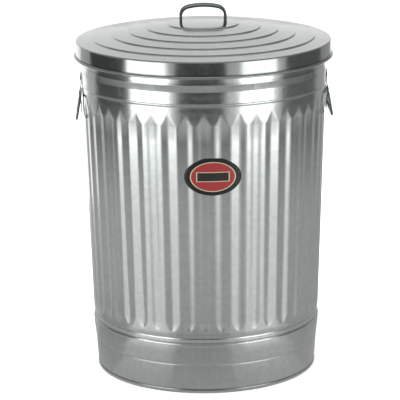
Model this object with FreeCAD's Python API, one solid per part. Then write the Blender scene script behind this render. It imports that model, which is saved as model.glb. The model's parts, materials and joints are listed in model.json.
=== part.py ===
import FreeCAD, Part

import math
import os

# Galvanised steel can with a lift-off lid, in millimetres.
# The origin is the centre of the foot circle on the floor, +Z is up, and the side handles hang at -X and +X.

# Sheet and wire
SHEET = 0.6
RIM_WIRE_R = 1.9
WIRE_PLAY = 0.05

# Body wall: outer radii and heights
FOOT_R = 195.4
FOOT_HEM_HEIGHT = 5.0
FOOT_HEM_WIDTH = 2.4
CREASE_Z = 53.0
CREASE_R = 199.0
BELT_Z = 84.0
BELT_R = 202.2
BELT_TOP_Z = 94.0
GROOVE_Z = 101.0
GROOVE_R = 199.9
FLUTE_FOOT_Z = 110.0
FLUTE_FOOT_R = 201.8
FLUTE_TOP_Z = 500.0
FLUTE_TOP_R = 214.2
FLUTE_FOOT_RUN = 22.0
FLUTE_TOP_RUN = 26.0
THIN_BEAD_Z = 513.4
THIN_BEAD_HALF = 2.2
THIN_BEAD_RISE = 0.8
BAND_TOP_Z = 535.5
BAND_TOP_R = 214.9
NECK_Z = 547.0
NECK_R = 213.4
RIM_R = 218.4
RIM_Z = 586.0

# Flutes
FLUTES = 44
FLUTE_DEPTH = 2.4
FLUTE_PHASE_DEG = -2.2

# Bottom pan
PAN_Z = 50.0
PAN_DISH = 4.0
PAN_DISH_R = 168.0
PAN_PLAY = 0.15
PAN_FLANGE_FOOT_Z = 3.6

# Lid: outer radii and heights of the steps
SKIRT_FOOT_R = 224.4
SHOULDER_R = 223.9
SHOULDER_Z = 589.8
SHOULDER_BEND = 2.0
LID_HEM_R = 225.45
LID_HEM_Z = 562.4
STEP_RADII = (196.2, 162.1, 132.3, 101.5, 63.5)
STEP_HEIGHTS = (594.4, 599.5, 605.6, 610.9, 616.0)
STEP_RISE = 2.6
STEP_RUN = 0.9
CROWN_Z = 617.4

# Lid handle: a strap whose feet go through two slots in the lid and are bent in under it
GRIP_SPAN = 82.5
GRIP_TOP_Z = 650.8
GRIP_CORNER_R = 16.0
GRIP_ARCH_R = 120.0
GRIP_DEPTH = 24.0
GRIP_EDGE_R = 2.3
GRIP_STRIP = 1.4
GRIP_FOOT = 15.0
GRIP_FOOT_BEND = 1.5
GRIP_SLOT_PLAY = 0.3

# Rivets of the ears
RIVET_R = 2.2
RIVET_HEAD_R = 4.2
RIVET_HEAD = 1.6

# Side handles and their ears
PIVOT_X = 217.0
PIVOT_Z = 496.0
HANDLE_WIRE_R = 2.0
HANDLE_SPAN = 80.0
HANDLE_DROP = 44.0
HANDLE_CORNER_R = 11.0
HANDLE_LEAN_DEG = 10.0
SLEEVE_PLAY = 0.08
EAR_SHEET = 1.0
EAR_WIDTH = 30.0
EAR_TOP_Z = 533.0
HUMP_TOP_Z = 511.0
HUMP_FOOT_Z = 477.0
EAR_FOOT_Z = 462.0
EAR_GAP = 1.2
EAR_RIVET_Y = 8.5
EAR_RIVET_Z = 523.5

# Label
LABEL_WIDTH = 98.0
LABEL_HEIGHT = 65.0
LABEL_Z = 390.0
LABEL_TURN_DEG = 1.9
LABEL_SHEET = 0.3
LABEL_GAP = 0.1

Z_AXIS = FreeCAD.Vector(0, 0, 1)
ORIGIN = FreeCAD.Vector(0, 0, 0)


def section(radius, height):
    """A point of a section through the axis."""
    return FreeCAD.Vector(radius, 0, height)


def polyline(points):
    return [Part.LineSegment(a, b).toShape() for a, b in zip(points, points[1:])]


def revolve(edges):
    """Turns one closed outline all the way round."""
    face = Part.Face(Part.Wire(Part.__sortEdges__(edges)))
    return face.revolve(ORIGIN, Z_AXIS, 360)


def sheet_ring(outer):
    """A ring of sheet whose outer side is a list of (radius, height), with its thickness inwards."""
    outside = [section(r, z) for r, z in outer]
    inside = [section(r - SHEET, z) for r, z in reversed(outer)]
    points = outside + inside
    return revolve(polyline(points + points[:1]))


def save(name, shape):
    shape.exportStep("parts/" + name + ".step")
    print(name, "solids", len(shape.Solids), "valid", shape.isValid(), "volume", round(shape.Volume))


# ---- body wall ----


def cone_r(z):
    """Outer radius of the taper that the flute crests lie on."""
    share = (z - FLUTE_FOOT_Z) / (FLUTE_TOP_Z - FLUTE_FOOT_Z)
    return FLUTE_FOOT_R + share * (FLUTE_TOP_R - FLUTE_FOOT_R)


def polar(radius, degrees, z):
    """Degrees run from -Y towards +X."""
    a = math.radians(degrees)
    return FreeCAD.Vector(radius * math.sin(a), -radius * math.cos(a), z)


def fluted_wire(crest_r, depth, z):
    """A closed wave of arcs: each flute is one hollow arc and one crest arc."""
    pitch = 360.0 / FLUTES
    edges = []
    for k in range(FLUTES):
        middle = FLUTE_PHASE_DEG + k * pitch
        before = polar(crest_r - depth / 2, middle - pitch / 4, z)
        hollow = polar(crest_r - depth, middle, z)
        after = polar(crest_r - depth / 2, middle + pitch / 4, z)
        crest = polar(crest_r, middle + pitch / 2, z)
        following = polar(crest_r - depth / 2, middle + 3 * pitch / 4, z)
        edges.append(Part.Arc(before, hollow, after).toShape())
        edges.append(Part.Arc(after, crest, following).toShape())
    return Part.Wire(edges)


def fluted_solid(inset):
    """The flutes fade out at both ends, in a short run that leaves pointed tops."""
    stations = (
        (FLUTE_FOOT_Z, 0.0),
        (FLUTE_FOOT_Z + FLUTE_FOOT_RUN, FLUTE_DEPTH),
        (FLUTE_TOP_Z - FLUTE_TOP_RUN, FLUTE_DEPTH),
        (FLUTE_TOP_Z, 0.0),
    )
    wires = [fluted_wire(cone_r(z) - inset, depth, z) for z, depth in stations]
    return Part.makeLoft(wires, True, True)


def bead(middle_z, middle_r, half, rise):
    """Points of a shallow swaged bead on the band above the flutes."""
    slopes = ((-1.0, 0.0), (-0.5, 0.75), (0.0, 1.0), (0.5, 0.75), (1.0, 0.0))
    return [(middle_r + rise * share, middle_z + half * place) for place, share in slopes]


def band_r(z):
    """Outer radius of the plain band between the flutes and the step in to the neck."""
    share = (z - FLUTE_TOP_Z) / (BAND_TOP_Z - FLUTE_TOP_Z)
    return FLUTE_TOP_R + share * (BAND_TOP_R - FLUTE_TOP_R)


def body_wall():
    lower = sheet_ring([
        (FOOT_R, FOOT_HEM_HEIGHT),
        (CREASE_R - 0.5, CREASE_Z - 3),
        (CREASE_R, CREASE_Z),
        (CREASE_R, CREASE_Z + 3),
        (BELT_R - 0.5, BELT_Z - 10),
        (BELT_R, BELT_Z),
        (BELT_R - 0.3, BELT_TOP_Z - 3),
        (GROOVE_R, GROOVE_Z),
        (FLUTE_FOOT_R, FLUTE_FOOT_Z),
    ])
    upper = sheet_ring(
        [(FLUTE_TOP_R, FLUTE_TOP_Z)]
        + bead(THIN_BEAD_Z, band_r(THIN_BEAD_Z), THIN_BEAD_HALF, THIN_BEAD_RISE)
        + [(BAND_TOP_R, BAND_TOP_Z), (NECK_R, NECK_Z), (NECK_R, RIM_Z - 4)]
    )
    flutes = fluted_solid(0).cut(fluted_solid(SHEET))
    wall = lower.fuse([flutes, upper, foot_hem(), rim_curl()])
    for ear_side in (-1, 1):
        for y in (-EAR_RIVET_Y, EAR_RIVET_Y):
            wall = wall.cut(ear_rivet_shank(ear_side, y, WIRE_PLAY))
    return wall.removeSplitter()


def foot_hem():
    """The wall's lower edge is doubled inwards into a flat foot that traps the pan's flange."""
    inner = FOOT_R - FOOT_HEM_WIDTH
    outline = [
        (FOOT_R, FOOT_HEM_HEIGHT),
        (FOOT_R - 0.1, 0.6),
        (FOOT_R - 0.7, 0.0),
        (inner + 0.6, 0.0),
        (inner, 0.6),
        (inner, FOOT_HEM_HEIGHT),
        (inner + SHEET, FOOT_HEM_HEIGHT),
        (inner + SHEET, SHEET),
        (FOOT_R - SHEET - 0.1, SHEET),
        (FOOT_R - SHEET, FOOT_HEM_HEIGHT),
    ]
    points = [section(r, z) for r, z in outline]
    return revolve(polyline(points + points[:1]))


def rim_curl():
    """The top edge flares out and rolls down round a wire."""
    hollow_r = RIM_WIRE_R + WIRE_PLAY
    curl_r = hollow_r + SHEET
    curl = Part.makeTorus(RIM_R, curl_r, section(0, RIM_Z), Z_AXIS)
    hollow = Part.makeTorus(RIM_R, hollow_r, section(0, RIM_Z), Z_AXIS)
    neck = [
        section(NECK_R, RIM_Z - 4),
        section(RIM_R - curl_r + SHEET, RIM_Z),
        section(RIM_R - curl_r, RIM_Z),
        section(NECK_R - SHEET, RIM_Z - 4),
    ]
    flare = revolve(polyline(neck + neck[:1]))
    return flare.fuse(curl).cut(hollow)


def rim_wire():
    return Part.makeTorus(RIM_R, RIM_WIRE_R, section(0, RIM_Z), Z_AXIS)


# ---- bottom ----


def bottom_pan():
    """A dished disc with a flange that runs down inside the wall into the foot hem."""
    top_r = CREASE_R - 0.5 - SHEET - PAN_PLAY
    foot_r = FOOT_R - SHEET - PAN_PLAY - 0.05
    bend = 5.0
    outside = [
        section(0, PAN_Z - PAN_DISH),
        section(PAN_DISH_R, PAN_Z - PAN_DISH),
        section(PAN_DISH_R + 10, PAN_Z),
        section(top_r - bend, PAN_Z),
        section(top_r - bend * 0.3, PAN_Z - bend * 0.3),
        section(top_r - 0.3, PAN_Z - bend),
        section(foot_r, PAN_FLANGE_FOOT_Z),
    ]
    inside = [
        section(foot_r - SHEET, PAN_FLANGE_FOOT_Z),
        section(top_r - 0.3 - SHEET, PAN_Z - bend),
        section(top_r - bend * 0.3 - SHEET * 0.7, PAN_Z - bend * 0.3 - SHEET * 0.7),
        section(top_r - bend, PAN_Z - SHEET),
        section(PAN_DISH_R + 10, PAN_Z - SHEET),
        section(PAN_DISH_R, PAN_Z - PAN_DISH - SHEET),
        section(0, PAN_Z - PAN_DISH - SHEET),
    ]
    points = outside + inside
    return revolve(polyline(points + points[:1]))


# ---- lid ----


def lid_points():
    """Upper face of the lid from the shoulder to the middle, a terrace and a riser for each step."""
    points = [(SHOULDER_R, SHOULDER_Z - SHOULDER_BEND), (SHOULDER_R - SHOULDER_BEND, SHOULDER_Z)]
    for radius, height in zip(STEP_RADII, STEP_HEIGHTS):
        points.append((radius + STEP_RUN / 2, height - STEP_RISE / 2))
        points.append((radius - STEP_RUN / 2, height + STEP_RISE / 2))
    points.append((0, CROWN_Z))
    return points


def lid_shell():
    top = lid_points()
    skirt = [(SKIRT_FOOT_R, LID_HEM_Z + 2)]
    outside = [section(r, z) for r, z in skirt + top]
    inside = [section(r, z - SHEET) for r, z in reversed(top[1:])]
    inside.append(section(SHOULDER_R - SHEET, SHOULDER_Z - SHOULDER_BEND - SHEET * 0.4))
    inside.append(section(SKIRT_FOOT_R - SHEET, LID_HEM_Z + 2))
    points = outside + inside
    shell = revolve(polyline(points + points[:1]))
    hollow_r = RIM_WIRE_R - 0.1 + WIRE_PLAY
    curl_r = hollow_r + SHEET
    curl = Part.makeTorus(LID_HEM_R, curl_r, section(0, LID_HEM_Z), Z_AXIS)
    hollow = Part.makeTorus(LID_HEM_R, hollow_r, section(0, LID_HEM_Z), Z_AXIS)
    shell = shell.fuse(curl).cut(hollow)
    for side in (-1, 1):
        shell = shell.cut(lid_slot(side))
    return shell


def lid_slot(side):
    """The slot in the crown that one foot of the handle goes through."""
    leg_x = GRIP_SPAN / 2 - GRIP_EDGE_R
    outer_x = leg_x + GRIP_STRIP / 2 + GRIP_SLOT_PLAY
    inner_x = leg_x - GRIP_STRIP / 2 - GRIP_SLOT_PLAY - 0.5
    low_x = min(side * inner_x, side * outer_x)
    width = GRIP_DEPTH - 2 * GRIP_EDGE_R + 2 * GRIP_SLOT_PLAY
    corner = FreeCAD.Vector(low_x, -width / 2, CROWN_Z - 2 * SHEET)
    return Part.makeBox(outer_x - inner_x, width, 3 * SHEET, corner)


def lid_rim_wire():
    return Part.makeTorus(LID_HEM_R, RIM_WIRE_R - 0.1, section(0, LID_HEM_Z), Z_AXIS)


def grip_bends():
    """The strap's centre line from leg to leg: each side as (leg end, corner middle, corner end)."""
    half = GRIP_SPAN / 2 - GRIP_EDGE_R
    top = GRIP_TOP_Z - GRIP_EDGE_R
    corner_x = half - GRIP_CORNER_R
    reach = GRIP_ARCH_R - GRIP_CORNER_R
    lean = math.asin(corner_x / reach)
    corner_z = top - GRIP_ARCH_R + reach * math.cos(lean)
    bends = []
    for side in (-1, 1):
        turns = (math.pi / 2, math.pi / 4 + lean / 2, lean)
        bends.append([
            section(side * (corner_x + GRIP_CORNER_R * math.sin(t)), corner_z + GRIP_CORNER_R * math.cos(t))
            for t in turns
        ])
    return bends


def grip_path(leg_foot_z):
    """Legs, corners and the slightly arched grip, as edges, with the legs standing on leg_foot_z."""
    bends = grip_bends()
    edges = []
    for leg_end, corner_mid, corner_end in bends:
        edges.append(Part.LineSegment(section(leg_end.x, leg_foot_z), leg_end).toShape())
        edges.append(Part.Arc(leg_end, corner_mid, corner_end).toShape())
    top_middle = section(0, GRIP_TOP_Z - GRIP_EDGE_R)
    edges.append(Part.Arc(bends[0][2], top_middle, bends[1][2]).toShape())
    return edges


def grip_feet(foot_z):
    """The feet under the lid, bent inwards, as edges."""
    half = GRIP_SPAN / 2 - GRIP_EDGE_R
    bend = GRIP_FOOT_BEND
    dip = math.sqrt(0.5)
    edges = []
    for side in (-1, 1):
        foot_end = section(side * (half - GRIP_FOOT), foot_z)
        foot_start = section(side * (half - bend), foot_z)
        foot_mid = section(side * (half - bend + bend * dip), foot_z + bend - bend * dip)
        leg_start = section(side * half, foot_z + bend)
        edges.append(Part.LineSegment(foot_end, foot_start).toShape())
        edges.append(Part.Arc(foot_start, foot_mid, leg_start).toShape())
    return edges


def swept(path, outline):
    """Sweeps an outline, drawn at the path's first point, along the path."""
    return Part.Wire(path).makePipeShell([outline], True, False)


def lid_handle():
    foot_z = CROWN_Z - SHEET - GRIP_STRIP / 2 - 0.1
    path = Part.Wire(Part.__sortEdges__(grip_feet(foot_z) + grip_path(foot_z + GRIP_FOOT_BEND)))
    start = path.OrderedVertexes[0].Point
    half_depth = GRIP_DEPTH / 2 - GRIP_EDGE_R
    low_z = start.z - GRIP_STRIP / 2
    high_z = start.z + GRIP_STRIP / 2
    strip = Part.makePolygon([
        FreeCAD.Vector(start.x, -half_depth, low_z),
        FreeCAD.Vector(start.x, half_depth, low_z),
        FreeCAD.Vector(start.x, half_depth, high_z),
        FreeCAD.Vector(start.x, -half_depth, high_z),
        FreeCAD.Vector(start.x, -half_depth, low_z),
    ])
    return swept(path, strip).fuse(grip_edges()).removeSplitter()


def grip_edges():
    """The strap's long edges are rolled over along the legs and the grip, down to the lid."""
    rolls = []
    for y in (-GRIP_DEPTH / 2 + GRIP_EDGE_R, GRIP_DEPTH / 2 - GRIP_EDGE_R):
        path = Part.Wire(Part.__sortEdges__(grip_path(CROWN_Z + 0.2)))
        path.translate(FreeCAD.Vector(0, y, 0))
        start = path.OrderedVertexes[0].Point
        circle = Part.Wire(Part.makeCircle(GRIP_EDGE_R, start, Z_AXIS))
        rolls.append(swept(path, circle))
    return rolls[0].fuse(rolls[1])


# ---- side handles ----


def rivet_dome(seat, direction):
    """A low spherical cap on a flat seat."""
    ball_r = (RIVET_HEAD_R ** 2 + RIVET_HEAD ** 2) / (2 * RIVET_HEAD)
    ball = Part.makeSphere(ball_r, seat + direction * (RIVET_HEAD - ball_r))
    keep = Part.makeCylinder(RIVET_HEAD_R + 1, RIVET_HEAD + 1, seat, direction)
    return ball.common(keep)


def tangent_point(from_x, from_z, radius, above):
    """Where a straight side from a point touches the round nose about the pivot."""
    reach = math.hypot(PIVOT_X - from_x, PIVOT_Z - from_z)
    lead = math.atan2(from_z - PIVOT_Z, from_x - PIVOT_X)
    swing = math.acos(radius / reach)
    turn = lead - swing if above else lead + swing
    return PIVOT_X + radius * math.cos(turn), PIVOT_Z + radius * math.sin(turn)


def hump(side, back_x, top_z, foot_z, radius, width):
    """A solid hump: two straight sides that run from the wall to a round nose about the pivot."""
    upper = tangent_point(back_x, top_z, radius, True)
    lower = tangent_point(back_x, foot_z, radius, False)
    outline = [(back_x, top_z), upper, (PIVOT_X, PIVOT_Z), lower, (back_x, foot_z), (back_x, top_z)]
    points = [FreeCAD.Vector(side * x, -width / 2, z) for x, z in outline]
    y_axis = FreeCAD.Vector(0, 1, 0)
    sides = Part.Face(Part.makePolygon(points)).extrude(y_axis * width)
    nose_start = FreeCAD.Vector(side * PIVOT_X, -width / 2, PIVOT_Z)
    return sides.fuse(Part.makeCylinder(radius, width, nose_start, y_axis))


def ear_slab(side, back_x, thickness, low_z, high_z):
    """A flat block as wide as the ear, from back_x outwards."""
    corner = FreeCAD.Vector(min(side * back_x, side * (back_x + thickness)), -EAR_WIDTH / 2, low_z)
    return Part.makeBox(thickness, EAR_WIDTH, high_z - low_z, corner)


def ear(side):
    """A saddle strap: a tab above, a pressed hump that the handle wire turns in, and a tab below."""
    back = FLUTE_TOP_R + EAR_GAP
    hollow_r = HANDLE_WIRE_R + SLEEVE_PLAY
    outer = hump(side, back + EAR_SHEET / 2, HUMP_TOP_Z, HUMP_FOOT_Z, hollow_r + EAR_SHEET, EAR_WIDTH)
    hollow_top = HUMP_TOP_Z - 1.6 * EAR_SHEET
    hollow_foot = HUMP_FOOT_Z + 1.6 * EAR_SHEET
    hollow = hump(side, back - 0.8, hollow_top, hollow_foot, hollow_r, EAR_WIDTH + 2)
    behind = ear_slab(side, back - 4, 4, HUMP_FOOT_Z, HUMP_TOP_Z)
    upper_tab = ear_slab(side, back, EAR_SHEET, HUMP_TOP_Z - 2, EAR_TOP_Z)
    lower_tab = ear_slab(side, back, EAR_SHEET, EAR_FOOT_Z, HUMP_FOOT_Z + 2)
    strap = outer.fuse([upper_tab, lower_tab]).cut([hollow, behind])
    for y in (-EAR_RIVET_Y, EAR_RIVET_Y):
        strap = strap.cut(ear_rivet_shank(side, y, WIRE_PLAY))
    return strap.removeSplitter()


def ear_rivet_shank(side, y, play):
    outwards = FreeCAD.Vector(side, 0, 0)
    start = FreeCAD.Vector(side * (FLUTE_TOP_R - 5), y, EAR_RIVET_Z)
    return Part.makeCylinder(RIVET_R + play, 9, start, outwards)


def ear_rivets(side):
    """Two domed rivets through strap and wall, upset on the inside."""
    outwards = FreeCAD.Vector(side, 0, 0)
    seat_x = FLUTE_TOP_R + EAR_GAP + EAR_SHEET + 0.02
    tail_x = math.sqrt((band_r(EAR_RIVET_Z) - SHEET) ** 2 - EAR_RIVET_Y ** 2) - 0.6
    rivets = []
    for y in (-EAR_RIVET_Y, EAR_RIVET_Y):
        tail = FreeCAD.Vector(side * (tail_x - 0.8), y, EAR_RIVET_Z)
        shank = Part.makeCylinder(RIVET_R, seat_x - tail_x + 1, tail, outwards)
        upset = Part.makeCylinder(RIVET_HEAD_R * 0.8, 0.8, tail, outwards)
        dome = rivet_dome(FreeCAD.Vector(side * seat_x, y, EAR_RIVET_Z), outwards)
        rivets.append(shank.fuse([dome, upset]).removeSplitter())
    return Part.makeCompound(rivets)


def drop_handle(side):
    """A closed D of round wire: the upper bar turns in the ear, the loop hangs and leans outwards."""
    half = HANDLE_SPAN / 2 - HANDLE_WIRE_R
    drop = HANDLE_DROP - HANDLE_WIRE_R
    corner = HANDLE_CORNER_R
    small = HANDLE_WIRE_R * 2
    dip = math.sqrt(0.5)

    def place(y, down):
        return FreeCAD.Vector(side * PIVOT_X, y, PIVOT_Z - down)

    edges = []
    for end in (-1, 1):
        bar_end = place(end * (half - small), 0)
        bend_mid = place(end * (half - small + small * dip), small - small * dip)
        leg_start = place(end * half, small)
        leg_end = place(end * half, drop - corner)
        corner_mid = place(end * (half - corner + corner * dip), drop - corner + corner * dip)
        corner_end = place(end * (half - corner), drop)
        edges.append(Part.Arc(bar_end, bend_mid, leg_start).toShape())
        edges.append(Part.LineSegment(leg_start, leg_end).toShape())
        edges.append(Part.Arc(leg_end, corner_mid, corner_end).toShape())
    edges.append(Part.LineSegment(place(half - corner, drop), place(corner - half, drop)).toShape())
    loop = Part.Wire(Part.__sortEdges__(edges))
    start = loop.OrderedVertexes[0].Point
    circle = Part.Wire(Part.makeCircle(HANDLE_WIRE_R, start, FreeCAD.Vector(0, 1, 0)))
    wire = swept(loop, circle)
    bar_start = place(small - half, 0)
    bar = Part.makeCylinder(HANDLE_WIRE_R, 2 * (half - small), bar_start, FreeCAD.Vector(0, 1, 0))
    handle = wire.fuse(bar)
    pivot = FreeCAD.Vector(side * PIVOT_X, 0, PIVOT_Z)
    handle.rotate(pivot, FreeCAD.Vector(0, 1, 0), -side * HANDLE_LEAN_DEG)
    return handle.removeSplitter()


# ---- label ----


def label():
    """An oval sticker that bridges the flute crests."""
    low = LABEL_Z - LABEL_HEIGHT / 2 - 2
    high = LABEL_Z + LABEL_HEIGHT / 2 + 2
    near = LABEL_GAP
    far = LABEL_GAP + LABEL_SHEET
    points = [
        section(cone_r(low) + near, low),
        section(cone_r(low) + far, low),
        section(cone_r(high) + far, high),
        section(cone_r(high) + near, high),
    ]
    ring = revolve(polyline(points + points[:1]))
    oval = Part.Ellipse(ORIGIN, LABEL_WIDTH / 2, LABEL_HEIGHT / 2).toShape()
    blank = Part.Face(Part.Wire(oval)).extrude(FreeCAD.Vector(0, 0, cone_r(high) + 20))
    blank.rotate(ORIGIN, FreeCAD.Vector(1, 0, 0), 90)
    blank.translate(FreeCAD.Vector(0, 0, LABEL_Z))
    sticker = ring.common(blank)
    sticker.rotate(ORIGIN, Z_AXIS, LABEL_TURN_DEG)
    return sticker


os.makedirs("parts", exist_ok=True)
save("body_wall", body_wall())
save("rim_wire", rim_wire())
save("bottom_pan", bottom_pan())
save("label", label())
save("lid_shell", lid_shell())
save("lid_rim_wire", lid_rim_wire())
save("lid_handle", lid_handle())
for ear_name, ear_side in (("left", -1), ("right", 1)):
    save(ear_name + "_ear", ear(ear_side))
    save(ear_name + "_ear_rivets", ear_rivets(ear_side))
    save(ear_name + "_handle", drop_handle(ear_side))
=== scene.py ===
"""A galvanised steel can with a lift-off lid: the fluted wall, the pan, the lid, the handles and the label.

Lengths are metres. The can stands on the floor at the origin, +Z is up, and the label faces -Y.
"""

import json
import math

import bmesh
import bpy
from bpy.props import FloatProperty, FloatVectorProperty, IntProperty, PointerProperty
from mathutils import Matrix, Vector


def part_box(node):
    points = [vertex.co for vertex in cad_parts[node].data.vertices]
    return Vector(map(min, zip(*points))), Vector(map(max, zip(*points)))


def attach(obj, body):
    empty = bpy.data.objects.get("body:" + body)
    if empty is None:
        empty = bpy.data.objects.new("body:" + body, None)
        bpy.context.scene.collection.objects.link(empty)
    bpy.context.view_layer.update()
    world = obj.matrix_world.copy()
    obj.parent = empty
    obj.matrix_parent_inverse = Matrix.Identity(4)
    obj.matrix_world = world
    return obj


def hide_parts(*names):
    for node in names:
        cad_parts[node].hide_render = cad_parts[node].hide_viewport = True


bl_info = {
    "name": "Galvanised Can",
    "version": (1, 0, 0),
    "blender": (4, 5, 0),
    "location": "3D View > Sidebar > Can",
    "description": "Builds a fluted galvanised can and its lid round the packed frame",
    "category": "Add Mesh",
}

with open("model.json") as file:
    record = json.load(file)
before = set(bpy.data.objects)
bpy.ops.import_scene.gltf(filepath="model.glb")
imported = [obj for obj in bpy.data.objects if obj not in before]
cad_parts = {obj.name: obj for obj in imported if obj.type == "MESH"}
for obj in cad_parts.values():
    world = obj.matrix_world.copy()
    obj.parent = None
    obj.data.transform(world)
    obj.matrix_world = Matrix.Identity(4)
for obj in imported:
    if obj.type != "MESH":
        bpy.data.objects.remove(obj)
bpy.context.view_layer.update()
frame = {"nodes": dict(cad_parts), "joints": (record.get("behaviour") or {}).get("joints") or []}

MM = 0.001
CLOSE = 0.01 * MM
UP = Vector((0, 0, 1))
ORIGIN = Vector((0, 0, 0))
SIDES = (("left", -1), ("right", 1))

# The label: its film, its place on the wall, and its rings and panel as shares of its half width and height
LABEL_FILM = 0.25 * MM
LABEL_LIFT = 0.2 * MM
LABEL_SAG = 0.35 * MM
LABEL_FIELD_EDGE = 0.76
LABEL_LINE_EDGE = 0.8
LABEL_PANEL = (0.58, 0.26)
LABEL_PANEL_LINE = 0.035

# Creases darkened with painted shade: height and reach in millimetres, and how much of the shine is left
WALL_CREASE_SHADE = ((6.3, 2.6, 0.4), (92.4, 2.0, 0.55), (101.0, 2.0, 0.8), (511.2, 1.8, 0.6), (549.5, 3.0, 0.75))
LID_CREASE_SHADE = ((565.2, 2.6, 0.5),)

# Sizes of the patterns in the finishes
CLOUD = 90 * MM
SWELL = 70 * MM
SWELL_DEPTH = 0.2 * MM
CRYSTAL_DEPTH = 0.02 * MM
BLOOM_DEPTH = 0.05 * MM
RUBBED_PATCH = 30 * MM
ROLL_LINE = 6 * MM
ROLL_STRETCH = (1.0, 1.0, 0.04)
PRINT_GRAIN = 1.2 * MM
CRYSTAL_CONTRAST = 0.03

# The studio: cards that curve round the can and run out over the floor, each with its start and end angle
# from the front. Only the metal's reflections see them. Each level is given at a distance out along the
# card, over the floor and then up.
CARD_NEAR = 0.15
CARD_REACH = 1.2
CARD_HIGH = 1.8
CARD_LIFT = 0.5 * MM
CARD_TINT = (1.0, 1.02, 1.01)
FLAG_LEVELS = (
    (0.2, 0.42), (0.4, 0.34), (0.6, 0.46), (1.2, 0.5), (1.33, 0.34), (1.42, 0.07), (1.66, 0.07),
    (1.74, 0.45), (1.9, 0.45), (2.2, 0.3), (3.0, 0.3),
)
RIGHT_FLAG_LEVELS = (
    (0.2, 0.42), (0.4, 0.38), (0.6, 0.44), (1.2, 0.46), (1.33, 0.3), (1.42, 0.13), (1.66, 0.13), (1.74, 0.3),
    (3.0, 0.3),
)
BOX_LEVELS = (
    (0.2, 0.46), (0.32, 0.55), (0.42, 0.8), (0.6, 0.85), (1.04, 0.95), (1.2, 1.0), (1.33, 1.2), (1.42, 2.8),
    (1.66, 2.8), (1.71, 0.26), (3.0, 0.26),
)
SOFT_EDGE_LEVELS = (
    (0.2, 0.44), (0.4, 0.55), (0.95, 0.62), (1.2, 0.7), (1.33, 0.6), (1.42, 0.7), (1.66, 0.7), (1.74, 0.35),
    (3.0, 0.3),
)
LEFT_EDGE_LEVELS = ((0.2, 0.5), (3.0, 0.6))
RIGHT_EDGE_LEVELS = ((0.2, 0.4), (3.0, 0.4))
STUDIO_CARDS = (
    ("left_soft_edge", -32, -25, SOFT_EDGE_LEVELS),
    ("front_flag", -25, 16, FLAG_LEVELS),
    ("right_soft_edge", 16, 29, SOFT_EDGE_LEVELS),
    ("left_softbox", -68, -32, BOX_LEVELS),
    ("right_softbox", 29, 60, BOX_LEVELS),
    ("right_outer_edge", 60, 69, SOFT_EDGE_LEVELS),
    ("left_flag", -114, -68, FLAG_LEVELS),
    ("right_flag", 69, 118, RIGHT_FLAG_LEVELS),
    ("left_edge", -136, -114, LEFT_EDGE_LEVELS),
    ("right_edge", 118, 150, RIGHT_EDGE_LEVELS),
)
BACK_LEVELS = ((0.6, 0.6), (1.2, 0.8))

# The camera's heading, tilt and roll in degrees, and the width of its sensor in millimetres
CAMERA_AIM = (-1.867, 75.529, -0.639)
CAMERA_SENSOR = 36


def mm(*points):
    """Points given in millimetres, as metres."""
    return [(first * MM, second * MM) for first, second in points]


# ---------------------------------------------------------------- settings


def hex_colour(text):
    """An sRGB hex value such as #C9CCCB as linear red, green, blue and alpha."""
    levels = [int(text[i:i + 2], 16) / 255 for i in (1, 3, 5)]
    return [v / 12.92 if v <= 0.04045 else ((v + 0.055) / 1.055) ** 2.4 for v in levels] + [1.0]


def length(name, description, millimetres):
    return FloatProperty(name=name, description=description, default=millimetres * MM, unit="LENGTH")


def colour(name, description, text):
    return FloatVectorProperty(
        name=name, description=description, default=hex_colour(text), size=4, subtype="COLOR", min=0, max=1
    )


class CanWallSettings(bpy.types.PropertyGroup):
    """Sizes of the fluted wall."""

    flutes: IntProperty(name="Flutes", description="Hollows round the wall", default=44, min=8)
    turn: FloatProperty(
        name="First flute", description="Angle of a hollow, from the front towards the right",
        default=math.radians(-2.2), subtype="ANGLE",
    )
    depth: length("Flute depth", "From the crests to the hollows", 2.3)
    columns: IntProperty(name="Columns", description="Strips of mesh in one flute", default=14, min=6)
    sheet: length("Sheet", "Thickness of the steel sheet", 0.6)
    seam_width: length("Seam width", "Width of the folded seam down the back", 6.5)
    seam_rise: length("Seam rise", "How far the folded seam stands proud", 1.0)


class CanLidSettings(bpy.types.PropertyGroup):
    """Sizes of the lid and its strap handle."""

    sheet: length("Sheet", "Thickness of the steel sheet", 0.6)
    bend: length("Step bend", "How far each step's bends reach", 0.5)
    strap: length("Strap", "Thickness of the handle's strip", 1.4)
    roll: length("Rolled edge", "Radius of the strap's rolled edges", 2.3)
    corner: length("Corner", "Radius of the strap's upper corners, at its middle", 16)
    arch: length("Arch", "Radius of the grip's slight arch, at its middle", 120)
    foot: length("Foot", "How far each foot reaches in under the lid", 15)


class CanHandleSettings(bpy.types.PropertyGroup):
    """Sizes of the drop handles, their saddle straps and the rivets."""

    wire: length("Wire", "Radius of the handle wire", 2.0)
    strap: length("Strap", "Thickness of the saddle strap", 1.0)
    lean: FloatProperty(
        name="Lean", description="How far the hanging handle leans outwards",
        default=math.radians(10), subtype="ANGLE",
    )
    rivet_head: length("Rivet head", "Radius of a rivet's head", 4.2)
    rivet_rise: length("Rivet rise", "Height of a rivet's head", 1.6)


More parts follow.
